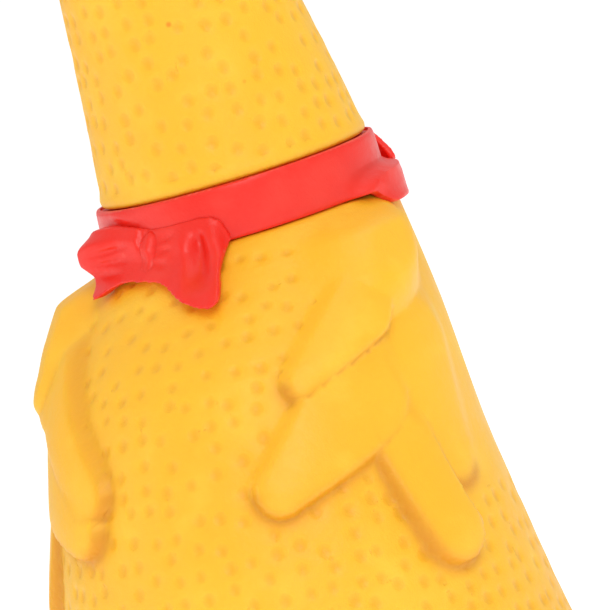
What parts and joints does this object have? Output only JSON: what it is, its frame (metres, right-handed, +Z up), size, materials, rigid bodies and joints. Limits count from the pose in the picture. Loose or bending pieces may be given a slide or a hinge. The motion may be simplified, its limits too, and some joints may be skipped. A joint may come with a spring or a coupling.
{
  "type": "rubber chicken",
  "caption": "Hollow soft vinyl novelty chicken with pimply skin, wings in relief, a bow-tie collar over a turning neck with a reed whistle, and snap-in legs.",
  "frame": {"origin": "on the floor under the middle of the object's box: x halfway across, y halfway from the breast to the tail, z at the soles", "axes": "+Z up, from the soles to the comb; -Y is the chicken's front, with the beak and bow; +X is the chicken's left"},
  "size_m": [0.0838, 0.1044, 0.3179],
  "materials": {
    "yellow_vinyl": "soft vinyl, satin",
    "red_vinyl": "soft vinyl, satin",
    "orange_vinyl": "soft vinyl, satin",
    "white_plastic": "gloss",
    "black_plastic": "gloss",
    "reed_brass": "satin"
  },
  "bodies": {
    "torso": {"body_shell": "yellow_vinyl"},
    "head": {"head_shell": "yellow_vinyl", "comb": "red_vinyl", "upper_beak": "orange_vinyl", "lower_beak": "orange_vinyl", "tongue": "red_vinyl", "left_wattle": "red_vinyl", "right_wattle": "red_vinyl", "left_eye": "white_plastic", "right_eye": "white_plastic", "left_pupil": "black_plastic", "right_pupil": "black_plastic", "whistle_housing": "white_plastic", "whistle_cap": "white_plastic", "reed_plate": "black_plastic", "reed_clip": "white_plastic"},
    "sounder": {"reed": "reed_brass"},
    "collar": {"collar_band": "red_vinyl", "bow_loops": "red_vinyl", "bow_knot": "red_vinyl", "collar_pin": "red_vinyl"},
    "leg_l": {"left_leg": "yellow_vinyl", "left_foot": "orange_vinyl"},
    "leg_r": {"right_leg": "yellow_vinyl", "right_foot": "orange_vinyl"}
  },
  "joints": [
    {"name": "head_turn", "type": "hinge", "parent": "torso", "child": "head", "pos_m": [0, 0.0085, 0.1999], "axis": [0, 0, 1], "continuous": true},
    {"name": "collar_turn", "type": "hinge", "parent": "torso", "child": "collar", "pos_m": [0, 0.0085, 0.1948], "axis": [0, 0, 1], "range_deg": [-8, 28]},
    {"name": "left_hip", "type": "hinge", "parent": "torso", "child": "leg_l", "pos_m": [0.02, -0.0025, 0.062], "axis": [1, 0, 0], "range_deg": [-25, 25]},
    {"name": "right_hip", "type": "hinge", "parent": "torso", "child": "leg_r", "pos_m": [-0.02, -0.0025, 0.062], "axis": [1, 0, 0], "range_deg": [-25, 25]},
    {"name": "reed_flex", "type": "hinge", "parent": "head", "child": "sounder", "pos_m": [0, 0.00815, 0.2028], "axis": [1, 0, 0], "range_deg": [-2.2, 1.5], "stiffness_Nm_per_rad": 0.002}
  ]
}
